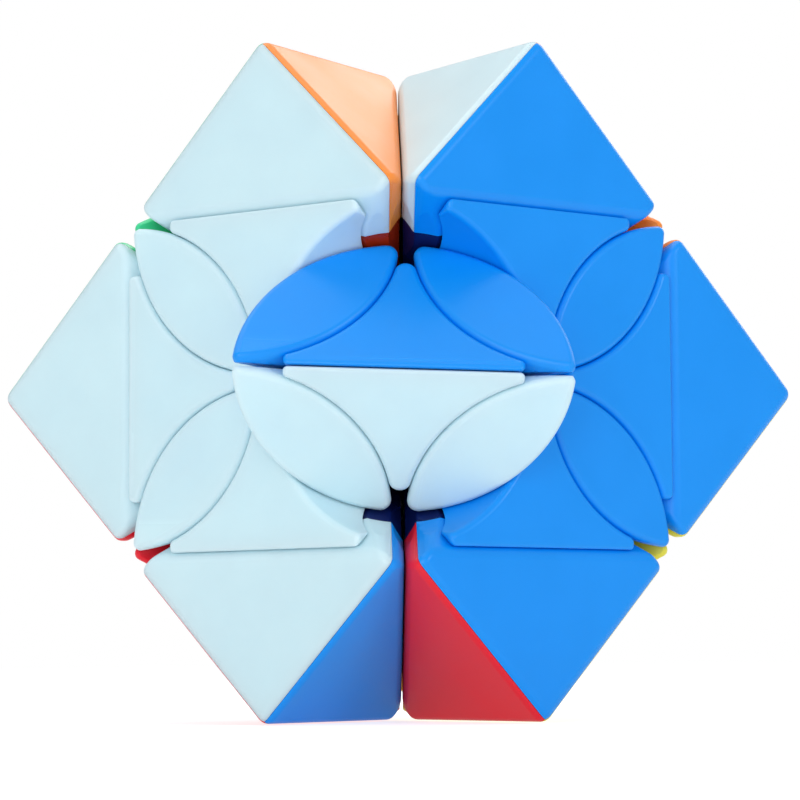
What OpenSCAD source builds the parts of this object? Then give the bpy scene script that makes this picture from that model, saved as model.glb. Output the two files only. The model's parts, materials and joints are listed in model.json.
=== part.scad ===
// Cube-shaped twisty puzzle with curved, leaf-like pieces, shown half turned.
// One half is turned about a body diagonal by 60 degrees, which is halfway to the
// next cube shape. Pairs of half discs meet across the cut in this state, and
// each such disc turns about the line from the centre to its middle.
// Row frame: origin at the core's centre, +X along the turning diagonal,
// -Y along the front disc's axis, +Z up.

/* [Cube] */
// Edge length of the solved cube
cube_edge = 60; // [54:1:66]
// Clearance between pieces that move past each other
gap = 0.5; // [0.4:0.1:0.7]
// Rounding radius along the cube's outer edges
edge_round = 1.5; // [1:0.1:2]

/* [Curved cuts] */
// Radius of the spherical cut around a disc, as a share of the cube edge
arc_share = 0.341; // [0.335:0.001:0.345]
// Depth of a leaf petal below the face
petal_depth = 11; // [9:0.5:12]
// Depth of a curved triangle below the face
triangle_depth = 9; // [7:0.5:9.5]

/* [Corners] */
// How much is cut off a corner's thin tips, along the cube's edge
tip_cut = 2.6; // [2:0.1:3]
// Wall thickness of a coloured corner cap
cap_wall = 2; // [1.6:0.1:2.4]
// Where a cap's coloured skirt ends, measured from the core's centre
skirt_end_r = 31.8; // [31.4:0.1:32.4]
// Outer radius of a corner foot, from the core's centre
foot_outer_r = 36; // [35:0.5:37]
// Inner radius of the feet and face bases, from the core's centre
foot_inner_r = 16; // [15.8:0.1:17]

/* [Core] */
// Radius of the core's ball
core_ball_r = 9; // [8:0.5:10]
// Radius of a core arm
core_arm_r = 4; // [3.5:0.1:4.5]
// Radius of a screw's shank
screw_r = 1.5; // [1.3:0.1:1.7]

/* [Pose] */
// Turn of the front disc, counter-clockwise seen from the front
disc_turn = 88; // [0:1:359]

/* [Hidden] */
$fn = 48;
h = cube_edge / 2;
diagonal_tilt = acos(sqrt(2 / 3));
half_turn = 60; // the halves meet disc to disc only at 60, 180 and 300
disc_dist = h / sqrt(2); // from a face's centre to a disc centre on that face
arc_r = arc_share * cube_edge;
solid_arc_r = arc_r - gap / 2;
void_arc_r = arc_r + gap / 2;
triangle_half_base = 0.242 * cube_edge;
triangle_apex_cut = 0.068 * cube_edge; // from the face's centre to an apex
base_top = h - 11.5; // below the petals, where the star is still sturdy
big = 2 * cube_edge;
seam = 0.04; // between two caps of one corner
foot_play = 0.1; // between a foot and its caps

core_arm_end = foot_inner_r - 0.8;
bore_r = screw_r + 0.2;
seat_r = 24; // where a washer sits in its foot
counterbore_r = 3.4;
washer_r = 3.1;
washer_t = 0.6;
spring_mean_r = 2.4;
spring_wire_r = 0.3;
spring_turns = 5;
spring_length = 5;
spring_start = seat_r + washer_t + spring_wire_r + 0.05;
head_start = spring_start + spring_length + spring_wire_r + 0.05;
head_r = 3;
head_t = 2;
shank_start = core_ball_r - 2;

WHITE = "#E8F4F9";
BLUE = "#1E97F3";
ORANGE = "#FF8A3C";
RED = "#DC2638";
GREEN = "#43D193";
YELLOW = "#E9DC4E";
DARK = "#1B2438";
STEEL = "silver";

// Each face: name, colour, outward normal, turn that brings +Z to the normal,
// the images of +X and +Y under that turn, and its half
FACES = [
    ["blue", BLUE, [1, 0, 0], [0, 90, 0], [0, 0, -1], [0, 1, 0], "right"],
    ["yellow", YELLOW, [0, 1, 0], [-90, 0, 0], [1, 0, 0], [0, 0, -1], "right"],
    ["orange", ORANGE, [0, 0, 1], [0, 0, 0], [1, 0, 0], [0, 1, 0], "right"],
    ["green", GREEN, [-1, 0, 0], [0, -90, 0], [0, 0, 1], [0, 1, 0], "left"],
    ["white", WHITE, [0, -1, 0], [90, 0, 0], [1, 0, 0], [0, 0, 1], "left"],
    ["red", RED, [0, 0, -1], [180, 0, 0], [1, 0, 0], [0, -1, 0], "left"],
];

// Each corner: name, direction, half, and if it is screwed to the core
CORNERS = [
    ["r0", [1, 1, 1], "right", true],
    ["r1", [1, -1, 1], "right", false],
    ["r2", [1, 1, -1], "right", false],
    ["r3", [-1, 1, 1], "right", false],
    ["l0", [-1, -1, -1], "left", false],
    ["l1", [-1, -1, 1], "left", true],
    ["l2", [1, -1, -1], "left", true],
    ["l3", [-1, 1, -1], "left", true],
];

// Each turning disc: name, its turn about its axis, its position round +X,
// its left face and its right face
DISCS = [
    ["front_disc", disc_turn, 0, "white", "blue"],
    ["rear_top_disc", 0, -120, "green", "orange"],
    ["rear_bottom_disc", 0, 120, "red", "yellow"],
];

function face(name) = [for (f = FACES) if (f[0] == name) f][0];
function on_face(f, c) = f[2] * c[1] == 1;
// Which quarter of face f points to direction d, from 0 to 3
function quarter(f, d) = round((atan2(d * f[5], d * f[4]) - 45) / 90 + 4) % 4;
// The corner direction whose side of the face lies on the halves' cut
function cut_corner(f) = 2 * f[2] - (f[6] == "right" ? 1 : -1) * [1, 1, 1];
function cut_quarter(f) = quarter(f, cut_corner(f));
function cap_name(f, c) = str("cap_", f[0], "_", c[0]);
function petals_name(f) = str("petals_", f[0]);
function triangles_name(f) = str("triangles_", f[0]);

// A front petal is named for its place on the disc before the disc is turned
SIDES = ["upper", "lower"];
function front_petal_name(f, side) = str("front_petal_", f[0], "_", side);
function disc_petals_name(d, f) = str(d[0], "_petals_", f);
function disc_triangle_name(d, f) = str(d[0], "_triangle_", f);

REAR_DISCS = [DISCS[1], DISCS[2]];

// ---- placing ----

// Turns the cube frame so that the turning diagonal lies along +X
module place_half(side) {
    rotate([side == "left" ? half_turn / 2 : -half_turn / 2, 0, 0])
        rotate([0, diagonal_tilt, 0])
        rotate([0, 0, -45])
        children();
}

module place_face(f) {
    rotate(f[3]) children();
}

// Points +Z along a direction
module along(d) {
    rotate([0, acos(d[2] / norm(d)), atan2(d[1], d[0])]) children();
}

// Everything further than dist along direction d
module beyond(d, dist) {
    along(d) translate([-big / 2, -big / 2, dist]) cube(big);
}

// ---- pieces of the face that looks along +Z ----

// A leaf petal that reaches from the face's centre towards +X
module petal_shape() {
    intersection() {
        translate([h / 2, h / 2, h]) sphere(solid_arc_r, $fn = 96);
        translate([h / 2, -h / 2, h]) sphere(solid_arc_r, $fn = 96);
        translate([0, -h, h - petal_depth]) cube([h, 2 * h, petal_depth]);
        beyond([-1, 1, 1], gap / 2);
        beyond([-1, -1, 1], gap / 2);
    }
}

// A curved triangle whose base line is at the face's +X side, turned 45 degrees
module triangle_shape() {
    top_x = disc_dist - gap / 2 / cos(diagonal_tilt);
    bottom_x = disc_dist * (h - triangle_depth) / h - gap / 2 / cos(diagonal_tilt);
    outline = [
        [triangle_apex_cut, h - triangle_depth],
        [bottom_x, h - triangle_depth],
        [top_x, h],
        [triangle_apex_cut, h],
    ];
    difference() {
        rotate([90, 0, 0])
            linear_extrude(2 * triangle_half_base, center = true)
            polygon(outline);
        for (side = [-1, 1])
            translate([0, side * disc_dist, h]) sphere(void_arc_r, $fn = 96);
    }
}

// What a piece must leave free around a cube edge to have it rounded
module edge_cutter() {
    difference() {
        cube([edge_round + 1, edge_round + 1, big]);
        translate([0, 0, -1]) cylinder(r = edge_round, h = big + 2);
    }
}

// The three rounded cube edges that meet at the corner [1, 1, 1]
module corner_edge_cutters() {
    inset = h - edge_round;
    translate([inset, inset, -1]) edge_cutter();
    rotate([90, 0, 90]) translate([inset, inset, -1]) edge_cutter();
    rotate([0, -90, -90]) translate([inset, inset, -1]) edge_cutter();
}

// A corner's cone from the centre, its walls moved in, its faces lowered and its
// three tips cut off square to the cube's edges
module corner_cone(inset, drop) {
    low = tip_cut + drop;
    intersection() {
        translate([low, low, low]) cube(h - drop - low);
        beyond([-1, 1, 1], inset);
        beyond([1, -1, 1], inset);
        beyond([1, 1, -1], inset);
    }
}

// The spherical hollows that six discs sweep at the corner [1, 1, 1]
module corner_scoops(thickness) {
    for (m = [[1, 0.5, -0.5], [1, -0.5, 0.5], [0.5, 1, -0.5],
              [-0.5, 1, 0.5], [0.5, -0.5, 1], [-0.5, 0.5, 1]])
        translate(m * h) sphere(void_arc_r + thickness, $fn = 96);
}

// The corner [1, 1, 1] under a skin of even thickness
module corner_inside(thickness) {
    difference() {
        corner_cone(gap / 2 + thickness, thickness);
        corner_scoops(thickness);
    }
}

// The +Z cap of the corner [1, 1, 1]: a hollow shell with a coloured skirt
module cap_shape() {
    difference() {
        intersection() {
            corner_cone(gap / 2, 0);
            beyond([-1, 0, 1], seam / 2);
            beyond([0, -1, 1], seam / 2);
        }
        corner_inside(cap_wall);
        corner_edge_cutters();
        corner_scoops(0);
        sphere(skirt_end_r, $fn = 96);
    }
}

// A corner's foot: it fills the corner below the skirts and plugs into the caps.
// A screwed foot has a counterbored hole
module foot_shape(screwed) {
    difference() {
        union() {
            intersection() {
                corner_inside(0);
                sphere(skirt_end_r - foot_play, $fn = 96);
            }
            intersection() {
                corner_inside(cap_wall + foot_play);
                sphere(foot_outer_r, $fn = 96);
            }
        }
        sphere(foot_inner_r, $fn = 96);
        if (screwed) {
            along([1, 1, 1]) cylinder(r = bore_r, h = foot_outer_r + 5);
            along([1, 1, 1]) translate([0, 0, seat_r]) cylinder(r = counterbore_r, h = 20);
        }
    }
}

// The hidden base under a face: a four-pointed star between the curved cuts
module face_base_shape() {
    difference() {
        intersection() {
            beyond([1, 1, 1], gap / 2);
            beyond([1, -1, 1], gap / 2);
            beyond([-1, 1, 1], gap / 2);
            beyond([-1, -1, 1], gap / 2);
            translate([-h, -h, 0]) cube([2 * h, 2 * h, base_top]);
        }
        sphere(foot_inner_r, $fn = 160);
        for (k = [0:3])
            rotate([0, 0, 45 + 90 * k])
                translate([disc_dist, 0, h]) sphere(void_arc_r, $fn = 160);
    }
}

// ---- sub-parts, each in the cube frame of its half ----

// The turn about Z and onto the face of the quarter k
module in_quarter(f, k) {
    place_face(f) rotate([0, 0, 90 * k]) children();
}

module corner_cap(f, c) {
    color(f[1]) place_half(c[2]) in_quarter(f, quarter(f, c[1])) cap_shape();
}

module corner_feet(side) {
    color(DARK) place_half(side)
        for (c = CORNERS) if (c[2] == side)
            place_corner(c[1]) foot_shape(c[3]);
}

// Brings the corner [1, 1, 1] to the corner d
module place_corner(d) {
    top = d[2] > 0;
    lower = top ? d : [d[0], -d[1], 1];
    rotate([top ? 0 : 180, 0, 0])
        rotate([0, 0, atan2(lower[1], lower[0]) - 45])
        children();
}

module face_bases(side) {
    color(DARK) place_half(side)
        for (f = FACES) if (f[6] == side)
            place_face(f) face_base_shape();
}

// The petals of a face that stay with their half
module fixed_petals(f) {
    color(f[1]) place_half(f[6])
        for (i = [2, 3])
            in_quarter(f, cut_quarter(f) + i) petal_shape();
}

module fixed_triangles(f) {
    color(f[1]) place_half(f[6])
        for (i = [1, 2, 3])
            in_quarter(f, cut_quarter(f) + i) rotate([0, 0, 45]) triangle_shape();
}

// The pieces of disc d turn about the line from the centre to its middle
module turn_disc(d) {
    rotate([d[2], 0, 0]) rotate(a = d[1], v = [0, -1, 0]) rotate([-d[2], 0, 0]) children();
}

module disc_petal(d, f, i) {
    color(f[1]) turn_disc(d) place_half(f[6])
        in_quarter(f, cut_quarter(f) + i) petal_shape();
}

module disc_triangle(d, f) {
    color(f[1]) turn_disc(d) place_half(f[6])
        in_quarter(f, cut_quarter(f)) rotate([0, 0, 45]) triangle_shape();
}

// ---- core and its four screwed axles ----

function screwed(side) = [for (c = CORNERS) if (c[3] && c[2] == side) c];

module on_axles(side) {
    place_half(side)
        for (c = screwed(side))
            along(c[1]) children();
}

module core() {
    color(DARK) difference() {
        union() {
            sphere(core_ball_r);
            for (side = ["left", "right"])
                on_axles(side) cylinder(r = core_arm_r, h = core_arm_end);
        }
        for (side = ["left", "right"])
            on_axles(side) translate([0, 0, shank_start]) cylinder(r = screw_r, h = foot_inner_r);
    }
}

module screws() {
    slot_w = 0.8;
    color(STEEL)
        for (side = ["left", "right"])
            on_axles(side) difference() {
                union() {
                    translate([0, 0, shank_start])
                        cylinder(r = screw_r, h = head_start - shank_start);
                    translate([0, 0, head_start]) cylinder(r = head_r, h = head_t);
                }
                for (turn = [0, 90])
                    rotate([0, 0, turn])
                        translate([-head_r * 0.6, -slot_w / 2, head_start + head_t / 2])
                        cube([head_r * 1.2, slot_w, head_t]);
            }
}

module washers(side) {
    color(STEEL) on_axles(side)
        translate([0, 0, seat_r])
        difference() {
            cylinder(r = washer_r, h = washer_t);
            translate([0, 0, -1]) cylinder(r = bore_r, h = washer_t + 2);
        }
}

// A helical spring, swept as a closed tube around its own winding line
module spring_shape() {
    sides = 6;
    rings = 14 * spring_turns;
    points = [for (i = [0:rings]) for (j = [0:sides - 1])
        let (
            turn = 360 * spring_turns * i / rings,
            out = spring_mean_r + spring_wire_r * cos(360 * j / sides),
            up = spring_length * i / rings + spring_wire_r * sin(360 * j / sides)
        ) [out * cos(turn), out * sin(turn), up]];
    start_cap = [for (j = [0:sides - 1]) j];
    end_cap = [for (j = [sides - 1:-1:0]) rings * sides + j];
    walls = [for (i = [0:rings - 1]) for (j = [0:sides - 1])
        let (next = (j + 1) % sides, low = i * sides, high = low + sides)
        each [[low + j, high + j, low + next], [high + j, high + next, low + next]]];
    polyhedron(points, concat([start_cap, end_cap], walls));
}

module springs(side) {
    color(STEEL) on_axles(side) translate([0, 0, spring_start]) spring_shape();
}

// ---- assembly ----

for (f = FACES)
    for (c = CORNERS)
        if (on_face(f, c))
            corner_cap(f, c);

for (f = [face("white"), face("blue")])
    for (i = [0, 1])
        disc_petal(DISCS[0], f, i);
for (i = [3, 4])
    disc_triangle(DISCS[0], face(DISCS[0][i]));

for (d = REAR_DISCS)
    for (name = [d[3], d[4]]) {
        for (i = [0, 1]) disc_petal(d, face(name), i);
        disc_triangle(d, face(name));
    }

for (f = FACES) {
    fixed_petals(f);
    fixed_triangles(f);
}

corner_feet("left");  // feet_left
corner_feet("right");  // feet_right
face_bases("left");  // face_bases_left
face_bases("right");  // face_bases_right
core();
screws();
springs("left");  // springs_left
springs("right");  // spring_right
washers("left");  // washers_left
washers("right");  // washer_right
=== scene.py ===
import bpy, bmesh, json, math
from mathutils import Matrix, Vector


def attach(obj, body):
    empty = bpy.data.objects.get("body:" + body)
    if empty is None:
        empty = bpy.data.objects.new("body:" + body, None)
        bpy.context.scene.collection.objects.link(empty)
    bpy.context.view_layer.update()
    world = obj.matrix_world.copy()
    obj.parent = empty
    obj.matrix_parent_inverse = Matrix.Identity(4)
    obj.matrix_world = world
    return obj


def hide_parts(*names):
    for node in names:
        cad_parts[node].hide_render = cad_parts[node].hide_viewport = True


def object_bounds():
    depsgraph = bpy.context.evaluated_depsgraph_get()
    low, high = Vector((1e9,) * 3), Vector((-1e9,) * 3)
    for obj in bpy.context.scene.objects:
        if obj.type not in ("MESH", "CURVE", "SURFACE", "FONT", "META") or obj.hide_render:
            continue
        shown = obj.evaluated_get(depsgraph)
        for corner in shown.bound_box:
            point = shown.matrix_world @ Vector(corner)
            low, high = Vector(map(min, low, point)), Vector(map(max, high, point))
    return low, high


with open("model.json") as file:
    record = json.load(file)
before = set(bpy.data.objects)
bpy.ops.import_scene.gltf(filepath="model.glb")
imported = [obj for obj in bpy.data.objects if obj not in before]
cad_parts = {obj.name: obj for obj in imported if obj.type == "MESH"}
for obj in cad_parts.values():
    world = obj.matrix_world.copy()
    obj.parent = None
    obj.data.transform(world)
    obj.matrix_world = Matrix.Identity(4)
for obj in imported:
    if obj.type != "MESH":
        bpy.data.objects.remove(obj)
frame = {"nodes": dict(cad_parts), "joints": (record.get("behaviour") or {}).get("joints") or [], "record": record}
cadLow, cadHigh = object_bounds()

# Master pieces are made in millimetres on the cube face that looks along +Z, then
# placed on their own face of their own half. A flat face of the puzzle stands half
# an edge away from the core, which the frame's resting face gives.
restFace = frame["record"]["mounts"][0]
halfEdge = 1000 * Vector(restFace["pos_m"]).dot(Vector(restFace["axis"]))

puzzle = {
    "discDist": halfEdge / math.sqrt(2),  # face centre to disc centre
    "arcRadius": 0.341 * 2 * halfEdge,  # round cuts about the disc centres
    "gap": 0.08,  # open line along a round cut
    "cutGap": 0.16,  # open line between corners
    "tilt": math.acos(math.sqrt(2 / 3)),  # brings the body diagonal level
    "halfTurn": 60,  # between the halves, about the body diagonal
    "frontTurn": 88,
    "sharpEdge": math.radians(32),  # edges sharper than this are shaded as edges
}
touch = 0.001  # closer than this counts as on the face, in millimetres

# Each face: its outward normal, the turn that brings +Z there, and its half
faceTable = {
    "blue": ((1, 0, 0), (90, "Y"), "right"),
    "yellow": ((0, 1, 0), (-90, "X"), "right"),
    "orange": ((0, 0, 1), (0, "X"), "right"),
    "green": ((-1, 0, 0), (-90, "Y"), "left"),
    "white": ((0, -1, 0), (90, "X"), "left"),
    "red": ((0, 0, -1), (180, "X"), "left"),
}
# Each corner: its direction, and the colour its foot is moulded in, which the foot shows darkened as painted shade
cornerTable = {
    "r0": ((1, 1, 1), "orange"), "r1": ((1, -1, 1), "blue"),
    "r2": ((1, 1, -1), "blue"), "r3": ((-1, 1, 1), "green"),
    "l0": ((-1, -1, -1), "red"), "l1": ((-1, -1, 1), "orange"),
    "l2": ((1, -1, -1), "blue"), "l3": ((-1, 1, -1), "green"),
}
# Each disc: its left face, its right face, and its turn out of line with the cut
discTable = {
    "front_disc": ("white", "blue", puzzle["frontTurn"]),
    "rear_top_disc": ("green", "orange", 0),
    "rear_bottom_disc": ("red", "yellow", 0),
}


def turned(degrees, axis):
    return Matrix.Rotation(math.radians(degrees), 4, axis)


def halfPlace(side):  # from the cube's frame to the frame of the puzzle
    swing = puzzle["halfTurn"] / 2
    level = Matrix.Rotation(puzzle["tilt"], 4, "Y") @ turned(-45, "Z")
    return turned(swing if side == "left" else -swing, "X") @ level


def quarterOf(faceName, direction):
    local = turned(*faceTable[faceName][1]).inverted() @ Vector(direction)
    return round((math.degrees(math.atan2(local.y, local.x)) - 45) / 90) % 4


def cutQuarter(faceName):  # the quarter whose side lies on the cut between the halves
    normal, _, side = faceTable[faceName]
    diagonal = Vector((1, 1, 1)) * (1 if side == "right" else -1)
    return quarterOf(faceName, 2 * Vector(normal) - diagonal)


def onFace(faceName, quarter, side):
    return halfPlace(side) @ turned(*faceTable[faceName][1]) @ turned(90 * quarter, "Z")


def sliceAway(bm, normal, distance):  # keeps what lies beyond the plane
    normal = Vector(normal).normalized()
    everything = bm.verts[:] + bm.edges[:] + bm.faces[:]
    cut = bmesh.ops.bisect_plane(
        bm, geom=everything, dist=1e-5, plane_co=normal * distance,
        plane_no=normal, clear_inner=True)
    rim = [e for e in cut["geom_cut"] if isinstance(e, bmesh.types.BMEdge)]
    bmesh.ops.holes_fill(bm, edges=rim, sides=0)


def roundOver(bm, edges, width, segments):
    bmesh.ops.bevel(
        bm, geom=edges, offset=width, offset_type="OFFSET", segments=segments,
        profile=0.5, affect="EDGES", clamp_overlap=True, material=-1)


def topRim(bm):  # the edges around the flat top
    return [e for e in bm.edges
            if min(v.co.z for v in e.verts) > halfEdge - touch
            and len(e.link_faces) == 2 and e.calc_face_angle(0) > math.radians(40)]


def arcOn(bm, start, centre, endAngle, steps):  # an arc at face height from a vertex
    offset = start.co - Vector((*centre, halfEdge))
    turn = endAngle - math.atan2(offset.y, offset.x)
    turn = (turn + math.pi) % (2 * math.pi) - math.pi
    made = bmesh.ops.spin(
        bm, geom=[start], cent=(*centre, halfEdge), axis=(0, 0, 1), dvec=(0, 0, 0),
        angle=turn, steps=steps, use_merge=False)
    return [g for g in made["geom_last"] if isinstance(g, bmesh.types.BMVert)][0]


def mirrored(bm):  # adds the outline's other half across its long axis
    bmesh.ops.mirror(
        bm, geom=bm.verts[:] + bm.edges[:], matrix=Matrix.Identity(4),
        merge_dist=1e-4, axis="Y")
    return bm.edges[:]


def ringBelow(bm, ring, step):  # a wall course from a rim of edges
    made = bmesh.ops.extrude_edge_only(bm, edges=ring)["geom"]
    verts = [g for g in made if isinstance(g, bmesh.types.BMVert)]
    bmesh.ops.translate(bm, vec=(0, 0, -step), verts=verts)
    lower = [g for g in made if isinstance(g, bmesh.types.BMEdge)
             and g.verts[0] in verts and g.verts[1] in verts]
    return verts, lower


def asMesh(bm, name):
    bmesh.ops.remove_doubles(bm, verts=bm.verts, dist=1e-4)
    bmesh.ops.recalc_face_normals(bm, faces=bm.faces)
    mesh = bpy.data.meshes.new(name)
    bm.to_mesh(mesh)
    bm.free()
    return mesh


# A leaf petal from the face's centre towards +X. Its walls are parts of two spheres.
petal = {
    "depth": 10, "courses": 10, "arcSteps": 34, "tipSteps": 8,
    "innerTip": 1.4, "outerTip": 0.9, "clearance": 0.22,
    "topRound": 0.95, "roundSteps": 5,
}


def petalMesh():
    half = halfEdge / 2
    radius = puzzle["arcRadius"] - puzzle["gap"] / 2
    chordAt = lambda depth: math.sqrt(radius ** 2 - half ** 2 - depth ** 2)
    sharpAt = lambda depth, x: math.sqrt(
        max(radius ** 2 - depth ** 2 - (x - half) ** 2, 0)) - half
    reach = lambda tip: math.sqrt((radius - tip) ** 2 - half ** 2)
    bm = bmesh.new()
    inner, outer = half - reach(petal["innerTip"]), half + reach(petal["outerTip"])
    vert = bm.verts.new((inner - petal["innerTip"], 0, halfEdge))
    innerTurn = math.atan2(half, inner - half)
    outerTurn = math.atan2(half, outer - half)
    vert = arcOn(bm, vert, (inner, 0), innerTurn, petal["tipSteps"])
    vert = arcOn(bm, vert, (half, -half), outerTurn, petal["arcSteps"])
    arcOn(bm, vert, (outer, 0), 0, petal["tipSteps"])
    ring = mirrored(bm)
    bmesh.ops.contextual_create(bm, geom=ring)
    step = petal["depth"] / petal["courses"]
    for course in range(petal["courses"]):
        above, below = step * course, step * (course + 1)
        verts, ring = ringBelow(bm, ring, step)
        for v in verts:
            fullness = v.co.y / max(sharpAt(above, v.co.x), 1e-6)
            v.co.x = half + (v.co.x - half) * chordAt(below) / chordAt(above)
            v.co.y = fullness * sharpAt(below, v.co.x)
    bmesh.ops.contextual_create(bm, geom=ring)
    for side in (-1, 1):
        sliceAway(bm, (-1, side, 1), petal["clearance"])
    roundOver(bm, topRim(bm), petal["topRound"], petal["roundSteps"])
    return asMesh(bm, "petalMaster")


# A curved triangle whose base is a straight line at +X and whose apex is by the
# face's centre. Its two hollow walls follow the spheres of the neighbouring discs.
triangle = {
    "depth": 8.5, "courses": 10, "arcSteps": 30, "tipSteps": 8,
    "apexRound": 1.36, "halfBase": 0.241, "cuspRound": 0.85, "thinEnd": 0.22,
    "topRound": 0.75, "roundSteps": 4,
}


def triangleMesh():
    dist = puzzle["discDist"]
    radius = puzzle["arcRadius"] + puzzle["gap"] / 2
    halfBase = triangle["halfBase"] * 2 * halfEdge
    wallShift = puzzle["cutGap"] / 2 / math.cos(puzzle["tilt"])
    apex, cusp = triangle["apexRound"], triangle["cuspRound"]
    baseAt = lambda depth: dist * (halfEdge - depth) / halfEdge - wallShift
    flatAt = lambda depth: math.sqrt(radius ** 2 - depth ** 2)
    arcY = lambda depth, x: dist - math.sqrt(flatAt(depth) ** 2 - x ** 2)

    apexX = math.sqrt((radius + apex) ** 2 - dist ** 2)
    tipX = apexX - apex
    cuspY = halfBase - cusp
    cuspX = math.sqrt((radius + cusp) ** 2 - (dist - cuspY) ** 2)
    joinTurn = math.atan2(cuspY - dist, cuspX)
    joinX, joinY = radius * math.cos(joinTurn), dist + radius * math.sin(joinTurn)

    def joinAt(depth):  # where the arc ends, kept a little off the base
        slim = baseAt(depth) - triangle["thinEnd"]
        y = min(joinY, dist - math.sqrt(max(flatAt(depth) ** 2 - slim ** 2, 0)))
        return math.sqrt(flatAt(depth) ** 2 - (dist - y) ** 2), y

    bm = bmesh.new()
    vert = bm.verts.new((tipX, 0, halfEdge))
    apexTurn = math.atan2(dist, -apexX)
    vert = arcOn(bm, vert, (apexX, 0), apexTurn, triangle["tipSteps"])
    vert = arcOn(bm, vert, (0, dist), joinTurn, triangle["arcSteps"])
    vert = arcOn(bm, vert, (cuspX, cuspY), math.pi / 2, triangle["tipSteps"])
    corner = bm.verts.new((baseAt(0) - cusp, halfBase, halfEdge))
    bm.edges.new((vert, corner))
    arcOn(bm, corner, (baseAt(0) - cusp, cuspY), 0, triangle["tipSteps"])
    mirrored(bm)
    bm.edges.new([v for v in bm.verts if len(v.link_edges) == 1])
    ring = bm.edges[:]
    bmesh.ops.contextual_create(bm, geom=ring)
    step = triangle["depth"] / triangle["courses"]
    for course in range(triangle["courses"]):
        above, below = step * course, step * (course + 1)
        verts, ring = ringBelow(bm, ring, step)
        (oldX, oldY), (newX, newY) = joinAt(above), joinAt(below)
        slimmer = (baseAt(below) - newX) / (baseAt(above) - oldX)
        for v in verts:
            side = math.copysign(1, v.co.y)
            if v.co.x > oldX + 1e-5:
                v.co.x = baseAt(below) - (baseAt(above) - v.co.x) * slimmer
                v.co.y = side * (newY + (abs(v.co.y) - oldY) * slimmer)
            else:
                fullness = v.co.y / arcY(above, v.co.x)
                v.co.x = tipX + (v.co.x - tipX) * (newX - tipX) / (oldX - tipX)
                v.co.y = fullness * arcY(below, v.co.x)
    bmesh.ops.contextual_create(bm, geom=ring)
    bmesh.ops.recalc_face_normals(bm, faces=bm.faces)
    roundOver(bm, topRim(bm), triangle["topRound"], triangle["roundSteps"])
    return asMesh(bm, "triangleMaster")


# A corner cap: a hollow shell with a coloured skirt that ends on a sphere about the core
cap = {
    "cubeEdgeRound": 1.5, "cubeEdgeSteps": 6, "wallEdgeRound": 0.95, "wallEdgeSteps": 5,
    "tipCut": 2.6, "wall": 2, "seam": 0.03, "skirtEnd": 31.8,
}


def cornerBlock(inset, drop):  # a corner's cone from the core with its tips cut off
    bm = bmesh.new()
    bmesh.ops.create_cube(bm, size=2 * (halfEdge - drop))
    for normal in ((-1, 1, 1), (1, -1, 1), (1, 1, -1)):
        sliceAway(bm, normal, inset)
    for normal in ((1, 0, 0), (0, 1, 0), (0, 0, 1)):
        sliceAway(bm, normal, cap["tipCut"] + drop)
    return bm


def ball(radius, place=(0, 0, 0)):
    bm = bmesh.new()
    bmesh.ops.create_uvsphere(bm, u_segments=128, v_segments=72, radius=radius)
    bmesh.ops.translate(bm, vec=Vector(place) * halfEdge, verts=bm.verts)
    return asMesh(bm, "ball")


def scoops(thickness):  # the six hollows that discs sweep around a corner
    radius = puzzle["arcRadius"] + puzzle["gap"] / 2 + thickness
    places = ((1, 0.5, -0.5), (1, -0.5, 0.5), (0.5, 1, -0.5),
              (-0.5, 1, 0.5), (0.5, -0.5, 1), (-0.5, 0.5, 1))
    return [ball(radius, place) for place in places]


def carved(mesh, cutters):  # the mesh with the cutters taken out of it
    body = bpy.data.objects.new("carving", mesh)
    bpy.context.collection.objects.link(body)
    tools = []
    for cutter in cutters:
        tool = bpy.data.objects.new("carvingTool", cutter)
        bpy.context.collection.objects.link(tool)
        boolean = body.modifiers.new("carve", "BOOLEAN")
        boolean.operation, boolean.solver, boolean.object = "DIFFERENCE", "EXACT", tool
        tools.append(tool)
    graph = bpy.context.evaluated_depsgraph_get()
    result = bpy.data.meshes.new_from_object(body.evaluated_get(graph), depsgraph=graph)
    for o in [body] + tools:
        bpy.data.objects.remove(o)
    return result


def capMesh():
    bm = cornerBlock(puzzle["cutGap"] / 2, 0)
    atSurface = lambda e: sum(
        min(v.co[i] for v in e.verts) > halfEdge - touch for i in range(3))
    cubeEdges = [e for e in bm.edges if atSurface(e) == 2]
    roundOver(bm, cubeEdges, cap["cubeEdgeRound"], cap["cubeEdgeSteps"])
    sharp = [e for e in bm.edges if e.calc_face_angle(0) > math.radians(25)]
    roundOver(bm, sharp, cap["wallEdgeRound"], cap["wallEdgeSteps"])
    sliceAway(bm, (-1, 0, 1), cap["seam"])
    sliceAway(bm, (0, -1, 1), cap["seam"])
    outer = asMesh(bm, "capOuter")
    room = asMesh(cornerBlock(puzzle["cutGap"] / 2 + cap["wall"], cap["wall"]), "capRoom")
    room = carved(room, scoops(cap["wall"]))
    mesh = carved(outer, [room, ball(cap["skirtEnd"])] + scoops(0))
    mesh.name = "capMaster"
    return mesh
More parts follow.
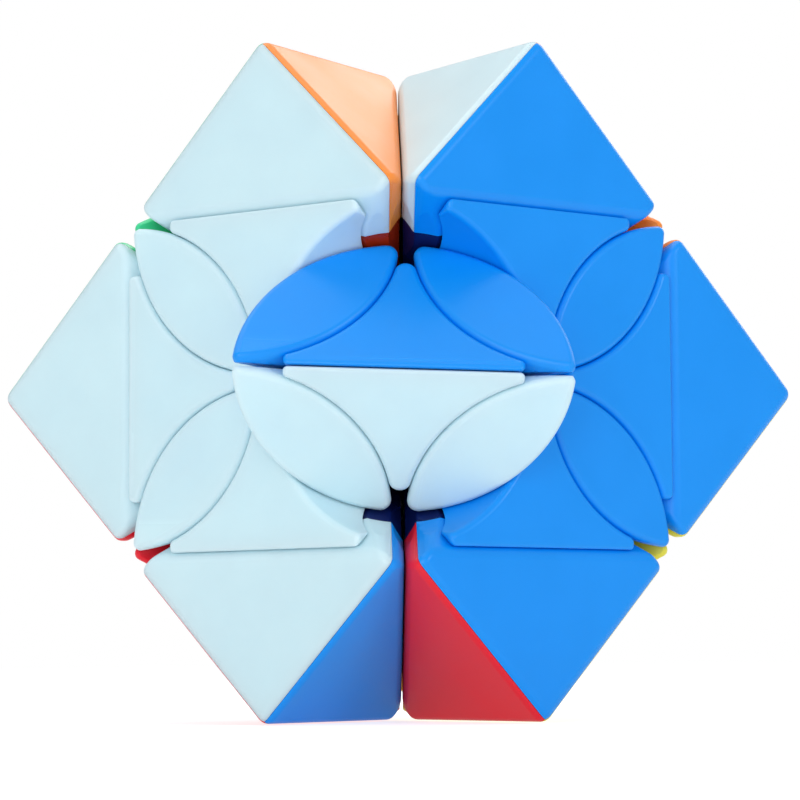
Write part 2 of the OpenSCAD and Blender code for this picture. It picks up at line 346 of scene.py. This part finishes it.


# A painted highlight lightens the colour along sharp edges.
# Coloured ABS, injection moulded: an even colour through and through, with a satin
# skin from a finely spark-eroded mould. Handling polishes its edges and leaves scuffs.
# All pattern sizes are in millimetres.
plastic = {
    "grainSize": 0.35,  # coarser than the mould's real 0.05, which is too fine to show
    "grainDepth": 0.006, "grainStrength": 0.3,
    "mottleSize": 8, "valueSpread": 0.025,
    "ior": 1.52, "specular": 0.34, "roughLow": 0.33, "roughHigh": 0.42,
    "edgeFrom": 0.51, "edgeTo": 0.57,  # pointiness where an edge's polish and painted highlight start and are full
    "edgeRough": 0.25, "edgeLift": 1.06,
    "scuffLength": 9, "scuffWidth": 0.3, "scuffTurn": (0.4, 0.9, 0.3),
    "scuffFrom": 0.66, "scuffTo": 0.74, "scuffRough": 0.07,
    "lightReach": 2.5,  # how far light spreads under the skin
}
colours = {  # base colour and how much light passes under the skin
    "white": ("#D2EEF7", 0.5), "blue": ("#0092F3", 0.05), "orange": ("#FF9038", 0.12),
    "red": ("#F01C30", 0.05), "green": ("#42D896", 0.08), "yellow": ("#EBE04C", 0.12),
}
# Foot colours: each corner colour darkened, painted shade for the hollows under the caps
footShadedColours = {"orange": "#A82A04", "blue": "#0A1A58", "red": "#8E0A16", "green": "#0F5A38"}


def linear(hexColour):  # sRGB hex to Blender's linear colour
    channels = [int(hexColour[i:i + 2], 16) / 255 for i in (1, 3, 5)]
    return [c / 12.92 if c <= 0.04045 else ((c + 0.055) / 1.055) ** 2.4 for c in channels] + [1]


def addNode(tree, kind, settings=None, links=None):
    node = tree.nodes.new(kind)
    for name, value in (settings or {}).items():
        if name in node.inputs:
            node.inputs[name].default_value = value
        else:
            setattr(node, name, value)
    for name, source in (links or {}).items():
        tree.links.new(source, node.inputs[name])
    return node


def startMaterial(name):  # the material, its tree and shader, and a place in millimetres
    material = bpy.data.materials.new(name)
    material.use_nodes = True
    tree = material.node_tree
    place = addNode(tree, "ShaderNodeTexCoord")
    inMm = addNode(tree, "ShaderNodeVectorMath", {"operation": "SCALE", "Scale": 1000},
                   {"Vector": place.outputs["Object"]})
    return material, tree, tree.nodes["Principled BSDF"], inMm.outputs["Vector"]


def mouldedSkin(tree, shader, place, colour):  # satin moulded finish over a colour socket, with a painted highlight on its edges
    grain = addNode(
        tree, "ShaderNodeTexNoise",
        {"Scale": 1 / plastic["grainSize"], "Detail": 3.0, "Roughness": 0.6}, {"Vector": place})
    bump = addNode(
        tree, "ShaderNodeBump",
        {"Strength": plastic["grainStrength"], "Distance": plastic["grainDepth"] / 1000},
        {"Height": grain.outputs["Fac"]})
    tree.links.new(bump.outputs["Normal"], shader.inputs["Normal"])
    mottle = addNode(
        tree, "ShaderNodeTexNoise", {"Scale": 1 / plastic["mottleSize"], "Detail": 4.0},
        {"Vector": place})
    stretched = addNode(
        tree, "ShaderNodeMapping",
        {"Rotation": plastic["scuffTurn"], "Scale": (
            1 / plastic["scuffLength"], 1 / plastic["scuffWidth"], 1 / plastic["scuffWidth"])},
        {"Vector": place})
    scratch = addNode(tree, "ShaderNodeTexNoise", {"Scale": 1.0, "Detail": 1.0},
                      {"Vector": stretched.outputs["Vector"]})
    scuffs = addNode(
        tree, "ShaderNodeMapRange",
        {"From Min": plastic["scuffFrom"], "From Max": plastic["scuffTo"],
         "To Max": plastic["scuffRough"]},
        {"Value": scratch.outputs["Fac"]})
    shape = addNode(tree, "ShaderNodeNewGeometry")
    edge = addNode(
        tree, "ShaderNodeMapRange",
        {"From Min": plastic["edgeFrom"], "From Max": plastic["edgeTo"]},
        {"Value": shape.outputs["Pointiness"]})
    satin = addNode(
        tree, "ShaderNodeMapRange",
        {"From Min": 0.35, "From Max": 0.65,
         "To Min": plastic["roughLow"], "To Max": plastic["roughHigh"]},
        {"Value": mottle.outputs["Fac"]})
    scuffed = addNode(tree, "ShaderNodeMath", {"operation": "ADD"})
    tree.links.new(satin.outputs["Result"], scuffed.inputs[0])
    tree.links.new(scuffs.outputs["Result"], scuffed.inputs[1])
    polished = addNode(
        tree, "ShaderNodeMapRange", {"To Max": plastic["edgeRough"]},
        {"Value": edge.outputs["Result"], "To Min": scuffed.outputs["Value"]})
    tree.links.new(polished.outputs["Result"], shader.inputs["Roughness"])
    shade = addNode(
        tree, "ShaderNodeMapRange",
        {"From Min": 0.3, "From Max": 0.7, "To Min": 1 - plastic["valueSpread"],
         "To Max": 1 + plastic["valueSpread"]},
        {"Value": mottle.outputs["Fac"]})
    # painted highlight: the colour's value rises on sharp convex edges, over the random mottle
    mottleAndEdgeHighlight = addNode(
        tree, "ShaderNodeMapRange", {"To Max": plastic["edgeLift"]},
        {"Value": edge.outputs["Result"], "To Min": shade.outputs["Result"]})
    tone = addNode(tree, "ShaderNodeHueSaturation", {},
                   {"Color": colour, "Value": mottleAndEdgeHighlight.outputs["Result"]})
    tree.links.new(tone.outputs["Color"], shader.inputs["Base Color"])
    shader.inputs["IOR"].default_value = plastic["ior"]
    shader.inputs["Specular IOR Level"].default_value = plastic["specular"]


def colouredAbs(name, hexColour, glow):
    material, tree, shader, place = startMaterial(name)
    colour = addNode(tree, "ShaderNodeRGB")
    colour.outputs["Color"].default_value = linear(hexColour)
    mouldedSkin(tree, shader, place, colour.outputs["Color"])
    shader.inputs["Subsurface Weight"].default_value = glow
    shader.inputs["Subsurface Radius"].default_value = (1, 1, 1)
    shader.inputs["Subsurface Scale"].default_value = plastic["lightReach"] / 1000
    return material


finishes = {name: colouredAbs(name + "MouldedAbs", *value) for name, value in colours.items()}


def shadedFeetAbs(side):  # each foot is one moulding in a colour of its own corner, darkened as painted shade of the hollows
    material, tree, shader, place = startMaterial(side + "FeetAbs")
    towards = addNode(tree, "ShaderNodeVectorMath", {"operation": "NORMALIZE"}, {"Vector": place})
    colour = addNode(tree, "ShaderNodeRGB").outputs["Color"]
    for cornerName, (corner, faceName) in cornerTable.items():
        if cornerName[0] == side[0]:
            along = halfPlace(side) @ Vector(corner).normalized()
            near = addNode(tree, "ShaderNodeVectorMath", {"operation": "DOT_PRODUCT"},
                           {"Vector": towards.outputs["Vector"]})
            near.inputs[1].default_value = along
            inside = addNode(tree, "ShaderNodeMath", {"operation": "GREATER_THAN"})
            tree.links.new(near.outputs["Value"], inside.inputs[0])
            inside.inputs[1].default_value = math.cos(puzzle["tilt"])
            mix = addNode(tree, "ShaderNodeMixRGB", {"Color2": linear(footShadedColours[faceName])},
                          {"Fac": inside.outputs["Value"], "Color1": colour})
            colour = mix.outputs["Color"]
    mouldedSkin(tree, shader, place, colour)
    return material


# Dark nylon of the core and the face bases: waxy, with smears of silicone grease
nylon = {
    "colour": "#1B2742", "smearSize": 3.5, "smearFrom": 0.45, "smearTo": 0.6,
    "dryRough": 0.55, "wetRough": 0.22,
}


def greasedNylon():
    material, tree, shader, place = startMaterial("greasedNylon")
    colour = addNode(tree, "ShaderNodeRGB")
    colour.outputs["Color"].default_value = linear(nylon["colour"])
    mouldedSkin(tree, shader, place, colour.outputs["Color"])
    smear = addNode(
        tree, "ShaderNodeTexNoise",
        {"Scale": 1 / nylon["smearSize"], "Detail": 2.0, "Distortion": 1.5}, {"Vector": place})
    wet = addNode(
        tree, "ShaderNodeMapRange",
        {"From Min": nylon["smearFrom"], "From Max": nylon["smearTo"],
         "To Min": nylon["dryRough"], "To Max": nylon["wetRough"]},
        {"Value": smear.outputs["Fac"]})
    tree.links.new(wet.outputs["Result"], shader.inputs["Roughness"])
    return material


# Zinc-plated steel of the screws, springs and washers: bright, faintly blue, with
# fine marks from drawing and turning
zinc = {
    "darkColour": "#A9ADB6", "lightColour": "#C9CCD2", "cloudSize": 0.8,
    "markSize": 0.15, "markDepth": 0.01, "markStrength": 0.3,
    "roughLow": 0.2, "roughHigh": 0.42,
}


def zincSteel():
    material, tree, shader, place = startMaterial("zincPlatedSteel")
    shader.inputs["Metallic"].default_value = 1.0
    cloud = addNode(tree, "ShaderNodeTexNoise", {"Scale": 1 / zinc["cloudSize"], "Detail": 4.0},
                    {"Vector": place})
    tint = addNode(tree, "ShaderNodeMixRGB",
                   {"Color1": linear(zinc["darkColour"]), "Color2": linear(zinc["lightColour"])},
                   {"Fac": cloud.outputs["Fac"]})
    tree.links.new(tint.outputs["Color"], shader.inputs["Base Color"])
    marks = addNode(tree, "ShaderNodeTexNoise", {"Scale": 1 / zinc["markSize"], "Detail": 2.0},
                    {"Vector": place})
    rough = addNode(tree, "ShaderNodeMapRange",
                    {"To Min": zinc["roughLow"], "To Max": zinc["roughHigh"]},
                    {"Value": marks.outputs["Fac"]})
    tree.links.new(rough.outputs["Result"], shader.inputs["Roughness"])
    bump = addNode(
        tree, "ShaderNodeBump",
        {"Strength": zinc["markStrength"], "Distance": zinc["markDepth"] / 1000},
        {"Height": marks.outputs["Fac"]})
    tree.links.new(bump.outputs["Normal"], shader.inputs["Normal"])
    return material


masters = {"petal": petalMesh(), "triangle": triangleMesh(), "cap": capMesh()}
for name, mesh in masters.items():
    print("master", name, len(mesh.polygons), "faces")


def makePiece(name, parts, faceName, body, node):  # parts: (master, place) pairs
    bm = bmesh.new()
    for master, place in parts:
        one = masters[master].copy()
        one.transform(Matrix.Scale(0.001, 4) @ place)
        bm.from_mesh(one)
        bpy.data.meshes.remove(one)
    mesh = bpy.data.meshes.new(name)
    bm.to_mesh(mesh)
    bm.free()
    mesh.shade_smooth()
    mesh.set_sharp_from_angle(angle=puzzle["sharpEdge"])
    mesh.materials.append(finishes[faceName])
    piece = bpy.data.objects.new(name, mesh)
    bpy.context.collection.objects.link(piece)
    weighted = piece.modifiers.new("flatFaces", "WEIGHTED_NORMAL")
    weighted.keep_sharp = True
    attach(piece, body)
    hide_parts(node)
    return piece


def camel(*words):
    joined = "".join(w.title() for word in words for w in word.split("_"))
    return joined[0].lower() + joined[1:]


aslant = turned(45, "Z")  # triangles point between the petals

for faceName, (normal, _, side) in faceTable.items():
    for cornerName, (corner, _) in cornerTable.items():
        if Vector(normal).dot(Vector(corner)) == 1:
            ownSide = "right" if cornerName[0] == "r" else "left"
            place = onFace(faceName, quarterOf(faceName, corner), ownSide)
            makePiece(camel("cap", faceName, cornerName), [("cap", place)],
                      faceName, ownSide + "_half", f"cap_{faceName}_{cornerName}")
    first = cutQuarter(faceName)
    petals = [("petal", onFace(faceName, first + i, side)) for i in (2, 3)]
    makePiece(camel("petals", faceName), petals, faceName, side + "_half", f"petals_{faceName}")
    triangles = [("triangle", onFace(faceName, first + i, side) @ aslant) for i in (1, 2, 3)]
    makePiece(camel("triangles", faceName), triangles, faceName,
              side + "_half", f"triangles_{faceName}")
print("caps, petals and triangles of six faces made")

discAxis = {j["child"]: Vector(j["axis"]) for j in frame["joints"]}
for disc, (leftFace, rightFace, degrees) in discTable.items():
    about = Matrix.Rotation(math.radians(degrees), 4, discAxis[disc])
    for faceName, side in ((leftFace, "left"), (rightFace, "right")):
        first = cutQuarter(faceName)
        petals = [("petal", about @ onFace(faceName, first + i, side)) for i in (0, 1)]
        triangles = [("triangle", about @ onFace(faceName, first, side) @ aslant)]
        makePiece(camel(disc, "triangle", faceName), triangles, faceName, disc,
                  f"{disc}_triangle_{faceName}")
        if disc == "front_disc":
            for onePetal, level in zip(petals, ("upper", "lower")):
                makePiece(camel("front_petal", faceName, level), [onePetal], faceName, disc,
                          f"front_petal_{faceName}_{level}")
        else:
            makePiece(camel(disc, "petals", faceName), petals, faceName, disc,
                      f"{disc}_petals_{faceName}")
print("discs made")

# The inner parts keep their own shape and only take a finish; the feet's finish is darkened with painted shade
leftShadedFeet, rightShadedFeet = shadedFeetAbs("left"), shadedFeetAbs("right")
dark, bright = greasedNylon(), zincSteel()
innerFinish = {
    "feet_left": leftShadedFeet, "feet_right": rightShadedFeet, "face_bases": dark, "core": dark,
    "screws": bright, "spring": bright, "washer": bright,
}
for nodeName, o in frame["nodes"].items():
    for start, finish in innerFinish.items():
        if nodeName.startswith(start):
            o.data.materials.clear()
            o.data.materials.append(finish)
print("inner parts finished")

# Plain pale floor, soft light and a camera with a long lens a little above the puzzle
studio = {
    "floorSize": 8, "azimuth": 1.02, "pitch": -5.22, "roll": -0.43,
    "lens": 129.8, "distance": 6.266, "shiftX": -0.0022, "shiftZ": 0.0073,
    "skyLight": 0.54, "skyColour": "#F2F9FF", "floorGlow": 0.72, "floorTint": 0.62,
    "floorBounce": 0.3,
}
lights = {  # place, side length, watts
    "topLight": ((-0.15, 0.15, 0.9), 0.9, 3.9),
    "frontLight": ((-0.3, -1.0, 0.3), 0.7, 3.3),
    "rightLight": ((0.65, -0.65, 0.36), 0.2, 1.3),
    "backLight": ((0.5, 0.75, 0.6), 0.6, 3.0),
}
edgeM = 2 * halfEdge / 1000


def makeFloor():
    bm = bmesh.new()
    bmesh.ops.create_grid(bm, x_segments=8, y_segments=8, size=studio["floorSize"])
    bmesh.ops.translate(bm, vec=(0, 0, cadLow.z - 0.0002), verts=bm.verts)
    mesh = bpy.data.meshes.new("floor")
    bm.to_mesh(mesh)
    bm.free()
    floor = bpy.data.objects.new("floor", mesh)
    bpy.context.collection.objects.link(floor)
    mesh.materials.append(paleFloor())


def paleFloor():  # seen by the camera it melts into the white behind
    material = bpy.data.materials.new("paleFloor")
    material.use_nodes = True
    tree = material.node_tree
    tree.nodes.remove(tree.nodes["Principled BSDF"])
    tint = studio["floorTint"]
    matt = addNode(tree, "ShaderNodeBsdfDiffuse", {"Color": (tint, tint, tint, 1)})
    ray = addNode(tree, "ShaderNodeLightPath")
    strength = addNode(
        tree, "ShaderNodeMapRange",
        {"To Min": studio["floorBounce"], "To Max": studio["floorGlow"]},
        {"Value": ray.outputs["Is Camera Ray"]})
    glow = addNode(tree, "ShaderNodeEmission", {}, {"Strength": strength.outputs["Result"]})
    both = addNode(tree, "ShaderNodeAddShader")
    tree.links.new(matt.outputs["BSDF"], both.inputs[0])
    tree.links.new(glow.outputs["Emission"], both.inputs[1])
    tree.links.new(both.outputs["Shader"], tree.nodes["Material Output"].inputs["Surface"])
    return material


def makeCamera():
    data = bpy.data.cameras.new("camera")
    data.lens = studio["lens"]
    camera = bpy.data.objects.new("camera", data)
    bpy.context.collection.objects.link(camera)
    sideways = turned(studio["azimuth"], "Z")
    aim = turned(studio["roll"], "Y") @ turned(studio["pitch"], "X") @ sideways
    offset = Vector((studio["shiftX"], studio["distance"], studio["shiftZ"])) * edgeM
    back = aim.inverted()
    camera.matrix_world = Matrix.Translation(-(back @ offset)) @ back @ turned(90, "X")
    data.clip_start, data.clip_end = 0.01, 50
    bpy.context.scene.camera = camera


def makeLight(name, place, size, power):
    data = bpy.data.lights.new(name, "AREA")
    data.shape, data.size, data.energy = "SQUARE", size, power
    light = bpy.data.objects.new(name, data)
    bpy.context.collection.objects.link(light)
    light.location = place
    light.rotation_euler = (-Vector(place)).to_track_quat("-Z", "Y").to_euler()


def makeWorld():  # white behind the object, softer as a light
    world = bpy.data.worlds.new("studioWorld")
    world.use_nodes = True
    tree = world.node_tree
    seen = addNode(tree, "ShaderNodeBackground", {"Color": (1, 1, 1, 1), "Strength": 1.0})
    cast = addNode(tree, "ShaderNodeBackground",
                   {"Color": linear(studio["skyColour"]), "Strength": studio["skyLight"]})
    ray = addNode(tree, "ShaderNodeLightPath")
    mix = addNode(tree, "ShaderNodeMixShader", {}, {"Fac": ray.outputs["Is Camera Ray"]})
    tree.links.new(cast.outputs["Background"], mix.inputs[1])
    tree.links.new(seen.outputs["Background"], mix.inputs[2])
    tree.links.new(mix.outputs["Shader"], tree.nodes["World Output"].inputs["Surface"])
    bpy.context.scene.world = world


makeWorld()
bpy.context.scene.view_settings.view_transform = "Standard"
makeFloor()
makeCamera()
for name, (place, size, power) in lights.items():
    makeLight(name, place, size, power)
print("studio ready")
